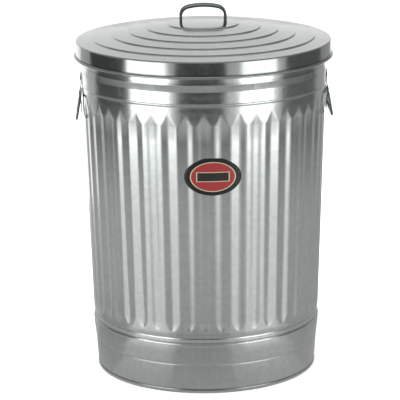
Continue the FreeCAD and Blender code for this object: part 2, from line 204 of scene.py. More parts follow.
class CanFinishSettings(bpy.types.PropertyGroup):
    """Colours and pattern sizes of the finishes."""

    zinc: colour("Zinc", "Hot-dipped sheet of the wall", "#C9CCCB")
    lid_zinc: colour("Lid zinc", "Hot-dipped sheet of the lid", "#AFB2B2")
    # painted shade: the lid handle's zinc is made darker to stand in for the shade and dark reflections on
    # it
    strap_zinc_painted_shade: colour("Strap zinc", "Darkened zinc on the lid's handle", "#6F7678")
    # painted shade: the saddle straps' zinc is made darker to stand in for the shade the hump casts
    ear_zinc_painted_shade: colour("Ear zinc", "Darkened zinc on the saddle straps", "#5A5E60")
    wire_zinc: colour("Wire zinc", "Zinc on the round wire", "#6A6F72")
    rivet_steel: colour("Rivet steel", "Plated rivet heads", "#B9BBBC")
    spangle: length("Spangle", "Width of one zinc crystal", 8)
    label_border: colour("Label border", "Outer border of the label", "#0A0E0A")
    label_line: colour("Label line", "Thin line inside the border", "#A79F80")
    label_field: colour("Label field", "Printed field", "#86191F")
    label_panel: colour("Label panel", "Blank panel", "#1C1D1A")


class CanStageSettings(bpy.types.PropertyGroup):
    """The floor, the light and the camera."""

    floor: colour("Floor", "Colour of the floor", "#FFFFFF")
    lens: FloatProperty(name="Lens", description="Focal length in millimetres", default=197.0)
    distance: length("Distance", "From the can's axis to the camera, along the floor", 3789)
    height: length("Height", "Height of the camera above the floor", 1274)
    side: FloatProperty(
        name="Side", description="How far the camera stands round to the left",
        default=math.radians(2), subtype="ANGLE",
    )


class CanSettings(bpy.types.PropertyGroup):
    """Everything that can be changed before the can is built."""

    wall: PointerProperty(type=CanWallSettings)
    lid: PointerProperty(type=CanLidSettings)
    handles: PointerProperty(type=CanHandleSettings)
    finish: PointerProperty(type=CanFinishSettings)
    stage: PointerProperty(type=CanStageSettings)


# ---------------------------------------------------------------- mesh helpers


def fraction(value, start, end):
    """How far value has gone from start to end, kept between 0 and 1."""
    return min(1.0, max(0.0, (value - start) / (end - start)))


def ease(share):
    return share * share * (3 - 2 * share)


def arc(centre, radius, start, end, steps):
    """Points (x, z) on an arc, in degrees anticlockwise from +X."""
    turns = [math.radians(start + (end - start) * k / steps) for k in range(steps + 1)]
    return [(centre[0] + radius * math.cos(t), centre[1] + radius * math.sin(t)) for t in turns]


def outline(mesh, points, closed=False):
    """A chain of vertices and edges through a few (x, z) points in the XZ plane."""
    corners = [mesh.verts.new((x, 0, z)) for x, z in points]
    following = corners[1:] + corners[:1] if closed else corners[1:]
    for here, there in zip(corners, following):
        mesh.edges.new((here, there))
    return corners


def round_off(mesh, corners, reach, segments=3):
    """Rounds corners of an outline, over a reach on both sides of each."""
    bmesh.ops.bevel(
        mesh, geom=corners, offset=reach, offset_type="OFFSET", segments=segments, profile=0.5,
        affect="VERTICES", material=-1, clamp_overlap=True,
    )


def spin_about_axis(mesh, steps, angle=math.tau):
    """Turns what is in the mesh about the can's axis."""
    bmesh.ops.spin(
        mesh, geom=list(mesh.verts) + list(mesh.edges), cent=ORIGIN, axis=UP, angle=angle, steps=steps,
        use_merge=angle == math.tau, use_duplicate=False,
    )


def only(kind, items):
    return [item for item in items if isinstance(item, kind)]


def everything(mesh):
    """All that a mesh is made of."""
    return list(mesh.verts) + list(mesh.edges) + list(mesh.faces)


def push(mesh, edges, way):
    """Extrudes edges along a vector and returns the new edges."""
    made = bmesh.ops.extrude_edge_only(mesh, edges=edges)["geom"]
    bmesh.ops.translate(mesh, verts=only(bmesh.types.BMVert, made), vec=way)
    return only(bmesh.types.BMEdge, made)


def bend(mesh, edges, centre, axis, degrees, steps):
    """Carries edges round an axis and returns the last ones."""
    corners = list({corner for edge in edges for corner in edge.verts})
    made = bmesh.ops.spin(
        mesh, geom=corners + edges, cent=centre, axis=axis, angle=math.radians(degrees), steps=steps,
        use_merge=False, use_duplicate=False,
    )["geom_last"]
    return only(bmesh.types.BMEdge, made)


def new_piece(mesh, name, body, nodes=(), sharp=40, outwards=True):
    """Makes the object, smooth but for its sharp edges, and lets it stand for the CAD nodes."""
    bmesh.ops.remove_doubles(mesh, verts=mesh.verts, dist=CLOSE)
    if outwards:
        bmesh.ops.recalc_face_normals(mesh, faces=mesh.faces)
    data = bpy.data.meshes.new(name)
    mesh.to_mesh(data)
    mesh.free()
    data.shade_smooth()
    data.set_sharp_from_angle(angle=math.radians(sharp))
    piece = bpy.data.objects.new(name, data)
    bpy.context.collection.objects.link(piece)
    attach(piece, body)
    if nodes:
        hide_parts(*nodes)
    return piece


def push_out(vert, amount):
    """Moves a vertex away from the can's axis."""
    radius = math.hypot(vert.co.x, vert.co.y)
    vert.co.x += vert.co.x / radius * amount
    vert.co.y += vert.co.y / radius * amount


def front_angle(vert):
    """Angle about the axis from the front (-Y) towards the right (+X)."""
    return math.atan2(vert.co.x, -vert.co.y)


# ---------------------------------------------------------------- the wall

# Outer radius and height, from the foot to the neck
FOOT = mm(
    (195.5, 0.8), (195.9, 5.2), (195.2, 6.4), (196.9, 28), (198.6, 50.6), (198.0, 53.0), (199.3, 55.4),
    (200.3, 66), (201.9, 78),
)
BELT = mm((202.3, 89.4), (200.7, 92.6), (200.6, 98.4), (199.8, 101), (200.8, 103.6), (201.8, 109.5))
BAND = mm((214.3, 506), (214.4, 510.8), (215.1, 513.2), (214.6, 515.8), (214.8, 526.0))
NECK = mm((215.1, 535.5), (213.5, 547.0), (213.4, 551), (213.4, 580))
HEM_CHANNEL = mm(
    (194.9, 5), (194.8, 0.8), (193.5, 0.8), (193.4, 5), (192.8, 5), (192.8, 0.8), (193.4, 0), (194.7, 0),
)

# The taper that the flutes' crests lie on, where the flutes begin and end, and how far they take to do so
TAPER_FOOT, TAPER_TOP = mm((201.8, 112.0), (214.2, 500.0))
FLUTE_LOW = 112 * MM
FLUTE_HIGH = 501 * MM
LOW_RUN = 19 * MM
HIGH_RUN = 25 * MM


def crest_radius(height):
    """Outer radius of the wall at the flutes' crests."""
    share = (height - TAPER_FOOT[1]) / (TAPER_TOP[1] - TAPER_FOOT[1])
    return TAPER_FOOT[0] + share * (TAPER_TOP[0] - TAPER_FOOT[0])


def flute_rows(end_rows, middle_rows):
    """Outline points of the fluted part, closer together where the flutes begin and end."""
    stations = (FLUTE_LOW, FLUTE_LOW + LOW_RUN, FLUTE_HIGH - HIGH_RUN, FLUTE_HIGH)
    heights = [FLUTE_HIGH]
    for low, high, rows in zip(stations, stations[1:], (end_rows, middle_rows, end_rows)):
        heights += [low + (high - low) * k / rows for k in range(rows)]
    return [(crest_radius(z), z) for z in sorted(heights)]


def flute_hollow(wall, angle, height):
    """How deep the wall lies below the crests: the flutes are pointed at the top and rounded at the foot."""
    hollow = (1 + math.cos(wall.flutes * (angle - wall.turn))) / 2
    to_top = fraction(height, FLUTE_HIGH, FLUTE_HIGH - HIGH_RUN)
    to_foot = fraction(height, FLUTE_LOW, FLUTE_LOW + LOW_RUN)
    pointed = hollow - (1 - to_top ** 2)
    rounded = hollow - (1 - to_foot) ** 2
    return wall.depth * max(0.0, min(pointed, rounded))


def seam_height(wall, angle):
    """How far the folded seam stands proud: it runs down the crest at the back."""
    pitch = math.tau / wall.flutes
    middle = wall.turn + (wall.flutes // 2 + 0.5) * pitch
    away = abs((angle - middle + math.pi) % math.tau - math.pi) * TAPER_FOOT[0]
    return wall.seam_rise * ease(1 - fraction(away, wall.seam_width * 0.4, wall.seam_width * 0.65))


def wall_outline(mesh, wall):
    """Outer side, rim curl, inner side and foot hem as one closed outline."""
    wire_low, wire_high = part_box("rim_wire")
    wire_r = (wire_high.z - wire_low.z) / 2
    middle = (wire_high.x - wire_r, (wire_low.z + wire_high.z) / 2)
    curl = arc(middle, wire_r + wall.sheet, 215, 540, 15)
    outer = FOOT + BELT + flute_rows(12, 12) + BAND + NECK
    inner = FOOT[1::2] + BELT[::2] + flute_rows(5, 6) + BAND[1::2] + NECK
    inside = [(r - wall.sheet, z) for r, z in reversed(inner)]
    corners = outline(mesh, outer + curl + inside + HEM_CHANNEL, closed=True)
    belt_start = len(FOOT)
    bead_start = len(outer) - len(BAND) - len(NECK)
    # The foot's groove and the crease, then the run up to the belt, the belt and groove, and the bead
    round_off(mesh, corners[1:3] + corners[4:7], 0.9 * MM, 2)
    round_off(mesh, corners[7:belt_start], 4 * MM, 2)
    round_off(mesh, corners[belt_start:belt_start + len(BELT)], 0.8 * MM, 2)
    round_off(mesh, corners[bead_start + 1:bead_start + len(BAND) + 2], 1.0 * MM, 2)


def build_wall(wall):
    """The sheet wall: one flute's width is spun, copied round, and then fluted and seamed."""
    mesh = bmesh.new()
    wall_outline(mesh, wall)
    pitch = math.tau / wall.flutes
    spin_about_axis(mesh, wall.columns, pitch)
    first = everything(mesh)
    for k in range(1, wall.flutes):
        copied = bmesh.ops.duplicate(mesh, geom=first)["geom"]
        corners = only(bmesh.types.BMVert, copied)
        bmesh.ops.rotate(mesh, verts=corners, cent=ORIGIN, matrix=Matrix.Rotation(k * pitch, 3, "Z"))
    bmesh.ops.remove_doubles(mesh, verts=mesh.verts, dist=CLOSE)
    for vert in mesh.verts:
        angle = front_angle(vert)
        if FLUTE_LOW < vert.co.z < FLUTE_HIGH:
            push_out(vert, -flute_hollow(wall, angle, vert.co.z))
        if vert.co.z < NECK[-1][1]:
            push_out(vert, seam_height(wall, angle))
    return new_piece(mesh, "wall_sheet", "can", ["body_wall"], sharp=50)


# The pan: the depth of its dish, where the dish's slope begins and ends, and the foot of its flange
PAN_DISH = 4 * MM
PAN_DISH_R = 168 * MM
PAN_SLOPE_END_R = 178 * MM
PAN_FLANGE_R = 194.65 * MM


def build_pan(wall):
    """The raised bottom, with the flange that runs down inside the wall."""
    low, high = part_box("bottom_pan")
    top = high.z
    dish = top - PAN_DISH
    upper = [(0, dish), (PAN_DISH_R, dish), (PAN_SLOPE_END_R, top), (high.x, top), (PAN_FLANGE_R, low.z)]
    under = [(r - wall.sheet, z - wall.sheet) for r, z in upper[3:0:-1]] + [(0, dish - wall.sheet)]
    mesh = bmesh.new()
    corners = outline(mesh, upper + [(PAN_FLANGE_R - wall.sheet, low.z)] + under)
    round_off(mesh, corners[1:3] + corners[7:9], 3 * MM)
    round_off(mesh, [corners[3], corners[6]], 5 * MM, 4)
    spin_about_axis(mesh, 144)
    return new_piece(mesh, "bottom_pan_sheet", "can", ["bottom_pan"])


# ---------------------------------------------------------------- the lid

# Radius and height of the middle of each step, from the edge inwards
LID_STEPS = mm((196.2, 594.4), (162.1, 599.5), (132.3, 605.6), (101.5, 610.9), (63.5, 616.0))
STEP_RISE = 2.6 * MM
STEP_RUN = 0.9 * MM
CROWN = 617.4 * MM
SHOULDER = (223.9 * MM, 589.8 * MM)
SHOULDER_BEND = 1.7 * MM

# Rows that keep the skirt's middle straight stand this far from its ends. The skirt's foot stands inside the
# middle of its wire by this share of the wire's radius.
SKIRT_EDGE = 3.5 * MM
SKIRT_MEETS_WIRE = 0.55

# The handle's strap starts a little above the crown, and its foot turns in below that
STRAP_START = 0.1 * MM
FOOT_TURN_DROP = 1.1 * MM


def lid_outline(mesh, lid):
    """Top, skirt, rolled hem and underside, from the middle outwards and back."""
    hem_low, hem_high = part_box("lid_rim_wire")
    wire_r = (hem_high.z - hem_low.z) / 2
    hem = (hem_high.x - wire_r, (hem_low.z + hem_high.z) / 2)
    top = [(0, CROWN)]
    for radius, height in reversed(LID_STEPS):
        top.append((radius - STEP_RUN / 2, height + STEP_RISE / 2))
        top.append((radius + STEP_RUN / 2, height - STEP_RISE / 2))
    top.append(SHOULDER)
    foot_r = hem[0] - wire_r * SKIRT_MEETS_WIRE
    heights = [SHOULDER[1] - SKIRT_EDGE] + [hem[1] + share * SKIRT_EDGE for share in (2, 1, 0.8)]
    skirt = [(SHOULDER[0] + (foot_r - SHOULDER[0]) * fraction(z, SHOULDER[1], hem[1]), z) for z in heights]
    curl = arc(hem, wire_r + lid.sheet, 115, -200, 16)
    inner_skirt = [(r - lid.sheet, z) for r, z in reversed(skirt)]
    inner_shoulder = (SHOULDER[0] - lid.sheet, SHOULDER[1] - lid.sheet)
    under = inner_skirt + [inner_shoulder] + [(r, z - lid.sheet) for r, z in reversed(top[:-1])]
    corners = outline(mesh, top + skirt + curl + under)
    steps = len(LID_STEPS) * 2
    inner_shoulder_at = len(corners) - len(top)
    round_off(mesh, corners[1:1 + steps] + corners[inner_shoulder_at + 1:-1], lid.bend)
    round_off(mesh, [corners[len(top) - 1], corners[inner_shoulder_at]], SHOULDER_BEND, 5)


def build_lid(lid):
    """The pressed lid, spun from its outline."""
    mesh = bmesh.new()
    lid_outline(mesh, lid)
    spin_about_axis(mesh, 288)
    return new_piece(mesh, "lid_sheet", "lid", ["lid_shell"], sharp=50)


def build_lid_handle(lid):
    """A strap with rolled edges: legs, corners and an arched grip. One half is made and mirrored."""
    low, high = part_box("lid_handle")
    leg_x = high.x - lid.roll
    depth = high.y - lid.roll
    start_z = CROWN + STRAP_START
    corner_x = leg_x - lid.corner
    reach = lid.arch - lid.corner
    lean = math.asin(corner_x / reach)
    arch_z = high.z - lid.roll - lid.arch
    corner_z = arch_z + reach * math.cos(lean)
    meet = math.degrees(math.asin(lid.strap / 2 / lid.roll))
    section = arc((depth, 0), lid.roll, 180 - meet, meet - 180, 14)
    section += arc((-depth, 0), lid.roll, -meet, meet - 360, 14)
    mesh = bmesh.new()
    corners = [mesh.verts.new((leg_x + rise, y, start_z)) for y, rise in section]
    mesh.faces.new(corners)
    across = Vector((0, 1, 0))
    edges = push(mesh, list(mesh.edges), UP * (corner_z - start_z))
    edges = bend(mesh, edges, (corner_x, 0, corner_z), across, math.degrees(lean) - 90, 10)
    bend(mesh, edges, (0, 0, arch_z), across, -math.degrees(lean), 8)
    strap_foot(mesh, lid, leg_x, start_z, low.z + lid.strap / 2, depth)
    bmesh.ops.mirror(mesh, geom=everything(mesh), axis="X", merge_dist=CLOSE)
    return new_piece(mesh, "lid_handle_strap", "lid", ["lid_handle"])


def strap_foot(mesh, lid, leg_x, start_z, foot_z, depth):
    """The flat foot: the strip alone, down through the lid and bent in under it."""
    half = lid.strap / 2
    turn_r = start_z - foot_z - FOOT_TURN_DROP
    ends = ((half, -depth), (half, depth), (-half, depth), (-half, -depth))
    corners = [mesh.verts.new((leg_x + x, y, start_z)) for x, y in ends]
    top = mesh.faces.new(corners)
    edges = push(mesh, list(top.edges), UP * (foot_z + turn_r - start_z))
    edges = bend(mesh, edges, (leg_x - turn_r, 0, foot_z + turn_r), Vector((0, 1, 0)), 90, 4)
    edges = push(mesh, edges, Vector((turn_r - lid.foot, 0, 0)))
    bmesh.ops.contextual_create(mesh, geom=edges)


# How far a rivet's head draws in below its rim, how far it is sunk, and how deep it sits inside the wall
RIVET_DRAW_IN = 0.2 * MM
RIVET_SUNK = 0.4 * MM
RIVET_BACK = 0.8 * MM


def rivet_dome(mesh, rivets, seat, outwards):
    """A low round head that stands on its seat."""
    head, rise = rivets.rivet_head, rivets.rivet_rise
    ball = (head ** 2 + rise ** 2) / (2 * rise)
    reach = math.degrees(math.asin(head / ball))
    with_dome = bmesh.new()
    dome_edge = arc((0, rise - ball), ball, 90, 90 - reach, 6)
    outline(with_dome, dome_edge + [(head - RIVET_DRAW_IN, -RIVET_SUNK), (0, -RIVET_SUNK)])
    spin_about_axis(with_dome, 28)
    bmesh.ops.remove_doubles(with_dome, verts=with_dome.verts, dist=CLOSE)
    bmesh.ops.recalc_face_normals(with_dome, faces=with_dome.faces)
    place = Matrix.Translation(seat) @ UP.rotation_difference(outwards).to_matrix().to_4x4()
    bmesh.ops.transform(with_dome, matrix=place, verts=with_dome.verts)
    dome = bpy.data.meshes.new("dome")
    with_dome.to_mesh(dome)
    with_dome.free()
    mesh.from_mesh(dome)
    bpy.data.meshes.remove(dome)


# ---------------------------------------------------------------- the side handles

# The saddle strap leaves the wall this far above the pivot and comes back to it this far below
EAR_LEAVES = 14.5 * MM
EAR_RETURNS = 18.5 * MM
EAR_BEND = 4 * MM
EAR_TIP = 5 * MM
WIRE_PLAY = 0.08 * MM

# Reach of the drop handle's lower corners, and how much shorter it hangs than its box
LOOP_CORNER = 11 * MM
LOOP_PLAY = 0.04 * MM


def handle_pivot(name):
    """The pivot of a joint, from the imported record."""
    joint = next(j for j in frame["joints"] if j["name"] == name + "_handle_swing")
    return Vector(joint["pos_m"])


def build_ear(handles, name, side):
    """A saddle strap: a flat tab above, a hump over the handle's bar, and a tab below."""
    low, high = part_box(name + "_ear")
    pivot = handle_pivot(name)
    back = min(abs(low.x), abs(high.x)) + handles.strap
    nose = handles.wire + WIRE_PLAY + handles.strap
    front = max(abs(low.x), abs(high.x))
    mesh = bmesh.new()
    points = [
        (back, high.z),
        (back, pivot.z + EAR_LEAVES),
        (front, pivot.z + nose * 0.5),
        (front, pivot.z - nose * 0.5),
        (back, pivot.z - EAR_RETURNS),
        (back, low.z),
    ]
    corners = outline(mesh, [(side * x, z) for x, z in points])
    round_off(mesh, [corners[1], corners[4]], EAR_BEND, 4)
    round_off(mesh, corners[2:4], nose * 0.45, 4)
    width = high.y - low.y
    bmesh.ops.translate(mesh, verts=mesh.verts, vec=(0, -width / 2, 0))
    push(mesh, list(mesh.edges), Vector((0, width, 0)))
    bmesh.ops.recalc_face_normals(mesh, faces=mesh.faces)
    faces = list(mesh.faces)
    if sum(face.normal.x for face in faces) * side < 0:
        bmesh.ops.reverse_faces(mesh, faces=faces)
    ends = [v for v in mesh.verts if v.co.z > high.z - CLOSE or v.co.z < low.z + CLOSE]
    strips = [e for e in mesh.edges if e.verts[0] in ends and e.verts[1] in ends]
    round_off(mesh, [v for e in strips for v in e.verts], EAR_TIP, 4)
    bmesh.ops.solidify(mesh, geom=mesh.faces, thickness=handles.strap)
    return new_piece(mesh, name + "_saddle_strap", "can", [name + "_ear"])


def build_ear_rivets(handles, name, side):
    """Two rivets in each strap, with a head outside and one inside the wall."""
    low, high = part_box(name + "_ear_rivets")
    mesh = bmesh.new()
    across = high.y - handles.rivet_head
    middle_z = (low.z + high.z) / 2
    outer = max(abs(low.x), abs(high.x))
    inner = min(abs(low.x), abs(high.x))
    for y in (-across, across):
        for seat, way in ((outer - handles.rivet_rise, side), (inner + RIVET_BACK, -side)):
            rivet_dome(mesh, handles, Vector((side * seat, y, middle_z)), Vector((way, 0, 0)))
    return new_piece(mesh, name + "_ear_rivet_heads", "can", [name + "_ear_rivets"])


def build_drop_handle(handles, name, side):
    """A closed loop of round wire that hangs from its bar. One half is made and mirrored, then leant out."""
    low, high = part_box(name + "_handle")
    pivot = handle_pivot(name)
    wire = handles.wire
    half = high.y - wire
    drop = (pivot.z - low.z - wire) / math.cos(handles.lean) - LOOP_PLAY
    small = 2 * wire
    corner = LOOP_CORNER
    mesh = bmesh.new()
    made = bmesh.ops.create_circle(mesh, cap_ends=False, segments=16, radius=wire)["verts"]
    bmesh.ops.rotate(mesh, verts=made, cent=ORIGIN, matrix=Matrix.Rotation(math.radians(90), 3, "X"))
    bmesh.ops.translate(mesh, verts=made, vec=pivot)
    turn = Vector((side, 0, 0))
    edges = push(mesh, list(mesh.edges), Vector((0, half - small, 0)))
    edges = bend(mesh, edges, pivot + Vector((0, half - small, -small)), turn, -90 * side, 8)
    edges = push(mesh, edges, UP * -(drop - corner - small))
    edges = bend(mesh, edges, pivot + Vector((0, half - corner, corner - drop)), turn, -90 * side, 10)
    push(mesh, edges, Vector((0, -(half - corner), 0)))
    bmesh.ops.mirror(mesh, geom=everything(mesh), axis="Y", merge_dist=CLOSE)
    lean = Matrix.Rotation(-side * handles.lean, 3, "Y")
    bmesh.ops.rotate(mesh, verts=mesh.verts, cent=pivot, matrix=lean)
    return new_piece(mesh, name + "_drop_handle", name + "_handle", [name + "_handle"])


# ---------------------------------------------------------------- the label


def wrap_label(mesh, middle, half_width, half_height):
    """Bends the flat oval round the crests, so that it sags a little over each hollow."""
    wall = bpy.context.scene.can.wall
    turn = math.atan2(middle.x, -middle.y)
    for vert in mesh.verts:
        height = middle.z + vert.co.y * half_height
        radius = crest_radius(height) + LABEL_LIFT
        angle = turn + vert.co.x * half_width / radius
        sag = LABEL_SAG * flute_hollow(wall, angle, height) / wall.depth
        out = radius - sag
        vert.co = (out * math.sin(angle), -out * math.cos(angle), height)


def build_label():
    """An oval sticker. Its own coordinates run from 0 to 1 across and up."""
    low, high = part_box("label")
    half_width = (high.x - low.x) / 2
    half_height = (high.z - low.z) / 2
    middle = Vector(((low.x + high.x) / 2, low.y, (low.z + high.z) / 2))
    mesh = bmesh.new()
    outline(mesh, [(k / 16, 0) for k in range(17)])
    spin_about_axis(mesh, 96)
    bmesh.ops.remove_doubles(mesh, verts=mesh.verts, dist=CLOSE)
    own = mesh.loops.layers.uv.new("label")
    for face in mesh.faces:
        for loop in face.loops:
            loop[own].uv = (loop.vert.co.x / 2 + 0.5, loop.vert.co.y / 2 + 0.5)
    wrap_label(mesh, middle, half_width, half_height)
    bmesh.ops.recalc_face_normals(mesh, faces=mesh.faces)
    if sum(face.normal.y for face in mesh.faces) > 0:
        bmesh.ops.reverse_faces(mesh, faces=mesh.faces)
    piece = new_piece(mesh, "oval_label", "can", ["label"], outwards=False)
    film = piece.modifiers.new("Film", "SOLIDIFY")
    film.thickness = LABEL_FILM
    film.offset = -1
    return piece


# ---------------------------------------------------------------- materials


def add_node(tree, kind, settings=None, inputs=None):
    """Adds one node, sets what it is told, and links or sets its inputs by name or number."""
    node = tree.nodes.new(kind)
    for key, value in (settings or {}).items():
        setattr(node, key, value)
    for key, value in (inputs or {}).items():
        if isinstance(value, bpy.types.NodeSocket):
            tree.links.new(value, node.inputs[key])
        else:
            node.inputs[key].default_value = value
    return node


def new_material(name):
    """An empty node material with its output, as (material, tree, output)."""
    material = bpy.data.materials.new(name)
    material.use_nodes = True
    tree = material.node_tree
    tree.nodes.clear()
    return material, tree, add_node(tree, "ShaderNodeOutputMaterial")


def spread(tree, value, low, high, start=0.0, end=1.0):
    """Maps a pattern's value to a range."""
    inputs = {"Value": value, "From Min": start, "From Max": end, "To Min": low, "To Max": high}
    return add_node(tree, "ShaderNodeMapRange", None, inputs).outputs[0]


def maths(tree, operation, first, second=0.0):
    return add_node(tree, "ShaderNodeMath", {"operation": operation}, {0: first, 1: second}).outputs[0]


def times(tree, first, second):
    return maths(tree, "MULTIPLY", first, second)


def noise(tree, place, size, detail, roughness=0.5):
    """Soft patches of about one size."""
    inputs = {"Vector": place, "Scale": 1 / size, "Detail": detail, "Roughness": roughness}
    return add_node(tree, "ShaderNodeTexNoise", None, inputs).outputs[0]


def length_of(tree, vector):
    return add_node(tree, "ShaderNodeVectorMath", {"operation": "LENGTH"}, {0: vector}).outputs["Value"]


def finish_tree(tree, output, kind, inputs):
    """Adds the shader and links it to the material's output."""
    shader = add_node(tree, kind, None, inputs)
    tree.links.new(shader.outputs[0], output.inputs[0])


def bare_metal(tree, output, base, shade, rough, normal):
    """Metal whose base colour is made lighter and darker by a shade about 1."""
    colour_in = tinted(tree, base, shade)
    inputs = {"Metallic": 1.0, "Base Color": colour_in, "Roughness": rough, "Normal": normal}
    finish_tree(tree, output, "ShaderNodeBsdfPrincipled", inputs)


def tinted(tree, base, value):
    """A colour made lighter and darker by a value about 1."""
    grey = add_node(tree, "ShaderNodeCombineColor", None, {0: value, 1: value, 2: value})
    settings = {"data_type": "RGBA", "blend_type": "MULTIPLY"}
    inputs = {0: 1.0, 6: base, 7: grey.outputs[0]}
    return add_node(tree, "ShaderNodeMix", settings, inputs).outputs[2]


def crease_painted_shade(tree, place, creases):
    """Painted shade along creases: 1 on the open sheet and less near each (height, reach, level)."""
    height = add_node(tree, "ShaderNodeSeparateXYZ", None, {0: place}).outputs[2]
    shade = 1.0
    for middle, reach, level in creases:
        away = maths(tree, "ABSOLUTE", maths(tree, "SUBTRACT", height, middle * MM))
        shade = times(tree, spread(tree, away, level, 1.0, 0.0, reach * MM), shade)
    return shade


def galvanised_sheet(name, zinc, crystal, roughness, creases):
    """Hot-dip galvanised steel sheet: a bright grey metal with a faint patchwork of zinc crystals, fine
    lines from the rolls, clouds where the dip cooled unevenly, and painted shade darkening its creases."""
    material, tree, output = new_material(name)
    place = add_node(tree, "ShaderNodeTexCoord").outputs["Object"]
    inputs = {"Vector": place, "Scale": 1 / crystal}
    crystals = add_node(tree, "ShaderNodeTexVoronoi", {"feature": "F1"}, inputs)
    level = add_node(tree, "ShaderNodeSeparateColor", None, {0: crystals.outputs["Color"]}).outputs
    clouds = noise(tree, place, CLOUD, 3.0, 0.55)
    drawn = add_node(tree, "ShaderNodeMapping", None, {"Vector": place, "Scale": ROLL_STRETCH})
    lines = noise(tree, drawn.outputs[0], ROLL_LINE, 2.0)
    facets = spread(tree, level[0], 1 - CRYSTAL_CONTRAST, 1 + CRYSTAL_CONTRAST)
    shade = times(tree, facets, spread(tree, clouds, 0.96, 1.04))
    shade = times(tree, shade, spread(tree, lines, 0.95, 1.05))
    # painted shade: the base colour is darkened along the creases, where shade falls
    shade = times(tree, shade, crease_painted_shade(tree, place, creases))
    facet_rough = spread(tree, level[1], 0.88 * roughness, 1.12 * roughness)
    rough = times(tree, facet_rough, spread(tree, clouds, 0.9, 1.12))
    inputs = {"Strength": 1.0, "Distance": SWELL_DEPTH, "Height": noise(tree, place, SWELL, 1.0)}
    swollen = add_node(tree, "ShaderNodeBump", None, inputs).outputs[0]
    edges = crystals.outputs["Distance"]
    inputs = {"Strength": 1.0, "Distance": CRYSTAL_DEPTH, "Height": edges, "Normal": swollen}
    faceted = add_node(tree, "ShaderNodeBump", None, inputs).outputs[0]
    bare_metal(tree, output, zinc, shade, rough, faceted)
    return material


def zinc_plated(name, zinc, roughness, grain):
    """Zinc-plated steel wire and strip: greyer and duller than the sheet, with a fine mottled bloom."""
    material, tree, output = new_material(name)
    place = add_node(tree, "ShaderNodeTexCoord").outputs["Object"]
    bloom = noise(tree, place, grain, 4.0, 0.6)
    rubbed = noise(tree, place, RUBBED_PATCH, 2.0)
    shade = times(tree, spread(tree, bloom, 0.86, 1.1), spread(tree, rubbed, 0.92, 1.08))
    bloom_rough = spread(tree, bloom, 0.8 * roughness, 1.2 * roughness)
    rough = times(tree, bloom_rough, spread(tree, rubbed, 0.9, 1.1))
    inputs = {"Strength": 0.4, "Distance": BLOOM_DEPTH, "Height": bloom}
    grit = add_node(tree, "ShaderNodeBump", None, inputs)
    bare_metal(tree, output, zinc, shade, rough, grit.outputs[0])
    return material


def printed_film(name, finish):
    """Printed polyester film under a clear coat: even inks with a faint screen grain and a soft gloss."""
    material, tree, output = new_material(name)
    own = add_node(tree, "ShaderNodeUVMap", {"uv_map": "label"}).outputs[0]
    inputs = {"Vector": own, "Location": (-1.0, -1.0, 0.0), "Scale": (2.0, 2.0, 1.0)}
    centred = add_node(tree, "ShaderNodeMapping", None, inputs).outputs[0]
    away = length_of(tree, centred)
    parts = add_node(tree, "ShaderNodeSeparateXYZ", None, {0: centred}).outputs
    rings = add_node(tree, "ShaderNodeValToRGB", None, {0: away})
    ramp = rings.color_ramp
    ramp.interpolation = "CONSTANT"
    ramp.elements[0].position = 0.0
    ramp.elements[0].color = finish.label_field
    ramp.elements[1].position = LABEL_FIELD_EDGE
    ramp.elements[1].color = finish.label_line
    ramp.elements.new(LABEL_LINE_EDGE).color = finish.label_border
    across = maths(tree, "ABSOLUTE", parts[0])
    upward = maths(tree, "ABSOLUTE", parts[1])
    half_wide, half_high = LABEL_PANEL
    inks = rings.outputs[0]
    for inset, ink in ((0.0, finish.label_line), (LABEL_PANEL_LINE, finish.label_panel)):
        inside_x = maths(tree, "LESS_THAN", across, half_wide - inset)
        inside_z = maths(tree, "LESS_THAN", upward, half_high - inset)
        inputs = {0: times(tree, inside_x, inside_z), 6: inks, 7: tuple(ink)}
        inks = add_node(tree, "ShaderNodeMix", {"data_type": "RGBA"}, inputs).outputs[2]
    place = add_node(tree, "ShaderNodeTexCoord").outputs["Object"]
    grain = noise(tree, place, PRINT_GRAIN, 2.0)
    inputs = {
        "Base Color": tinted(tree, inks, spread(tree, grain, 0.9, 1.1)),
        "Roughness": spread(tree, grain, 0.28, 0.4),
        "IOR": 1.5, "Coat Weight": 0.15, "Coat Roughness": 0.12,
    }
    finish_tree(tree, output, "ShaderNodeBsdfPrincipled", inputs)
    return material


def finish_with(piece, material):
    """Puts one material on a piece, in place of any it has."""
    piece.data.materials.clear()
    piece.data.materials.append(material)


def finish_node(name, material):
    """Puts a material on a CAD node that stays in view."""
    for slot in frame["nodes"][name].material_slots:
        slot.link = "OBJECT"
        slot.material = material


# ---------------------------------------------------------------- the stage


def link(name, data):
    thing = bpy.data.objects.new(name, data)
    bpy.context.collection.objects.link(thing)
    return thing


def stage_object(name, mesh, material):
    data = bpy.data.meshes.new(name)
    mesh.to_mesh(data)
    mesh.free()
    data.materials.append(material)
    made = link(name, data)
    return made


def glow(name, levels):
    """Emission that changes with the distance out along the card."""
    material, tree, output = new_material(name)
    place = add_node(tree, "ShaderNodeTexCoord").outputs["Object"]
    flat = add_node(tree, "ShaderNodeVectorMath", {"operation": "MULTIPLY"}, {0: place, 1: (1.0, 1.0, 0.0)})
    height = add_node(tree, "ShaderNodeSeparateXYZ", None, {0: place}).outputs[2]
    along = maths(tree, "ADD", length_of(tree, flat.outputs[0]), height)
    longest = CARD_REACH + CARD_HIGH
    ramp = add_node(tree, "ShaderNodeValToRGB", None, {0: times(tree, along, 1 / longest)})
    stops = ramp.color_ramp.elements
    for number, (distance, level) in enumerate(levels):
        stop = stops[number] if number < 2 else stops.new(distance / longest)
        stop.position = distance / longest
        stop.color = [level * share for share in CARD_TINT] + [1.0]
    finish_tree(tree, output, "ShaderNodeEmission", {"Color": ramp.outputs[0], "Strength": 1.0})
    return material


def mirrored_only(card):
    """A card lights only the metal, and is never in view itself."""
    card.visible_camera = False
    card.visible_diffuse = False
    card.visible_shadow = False
    card.visible_transmission = False
    card.visible_volume_scatter = False


